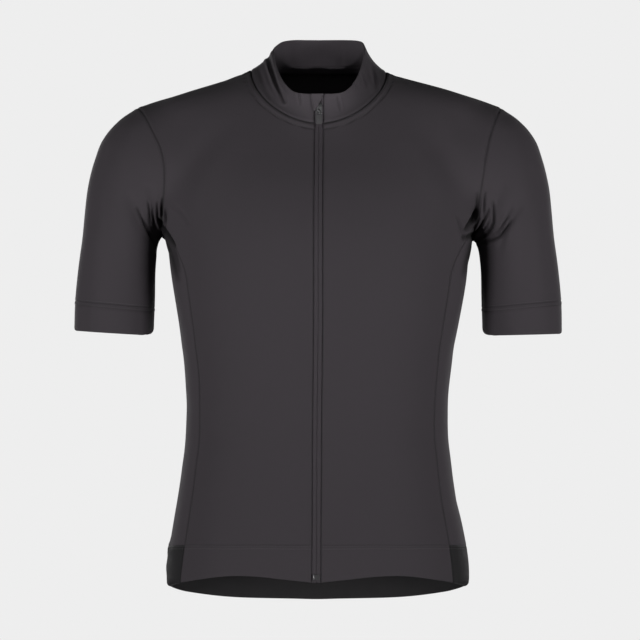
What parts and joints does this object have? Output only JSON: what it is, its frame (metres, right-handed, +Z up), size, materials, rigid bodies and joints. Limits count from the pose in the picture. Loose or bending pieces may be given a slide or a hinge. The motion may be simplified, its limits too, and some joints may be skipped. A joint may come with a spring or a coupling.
{
  "type": "cycling jersey, filled out as worn",
  "caption": "Short-sleeved cycling jersey with a full front zip, stand-up collar, cuff bands, side panels, back pockets and a dropped gripper hem, hollow and filled out as on a wearer.",
  "frame": {"origin": "middle of the neck at the height where the wearer's shoulders carry the cloth", "axes": "+Z up, the front faces -Y, the wearer's left is +X"},
  "size_m": [0.5597, 0.2335, 0.6603],
  "materials": {
    "knit": "matt charcoal stretch knit",
    "side_knit": "matt charcoal mesh knit, a shade lighter",
    "gripper": "dark ribbed elastic",
    "tape": "matt woven tape",
    "zip_metal": "dark painted metal, slight shine"
  },
  "bodies": {
    "jersey": {"front_left": "knit", "front_right": "knit", "back": "knit", "sleeve_left": "knit", "sleeve_right": "knit", "cuff_left": "knit", "cuff_right": "knit", "hem_left": "knit", "hem_right": "knit", "collar": "knit", "back_pockets": "knit", "zip_garage": "knit", "side_left": "side_knit", "side_right": "side_knit", "hem_gripper": "gripper", "neck_tape": "tape", "zip_tape_left": "tape", "zip_tape_right": "tape", "zip_slider": "zip_metal", "zip_box": "zip_metal"},
    "zip_pull": {"zip_pull": "zip_metal"}
  },
  "joints": [
    {"name": "zip_pull_swing", "type": "hinge", "parent": "jersey", "child": "zip_pull", "pos_m": [0, -0.06329, -0.04307], "axis": [-1, 0, 0], "range_deg": [0, 140]}
  ]
}
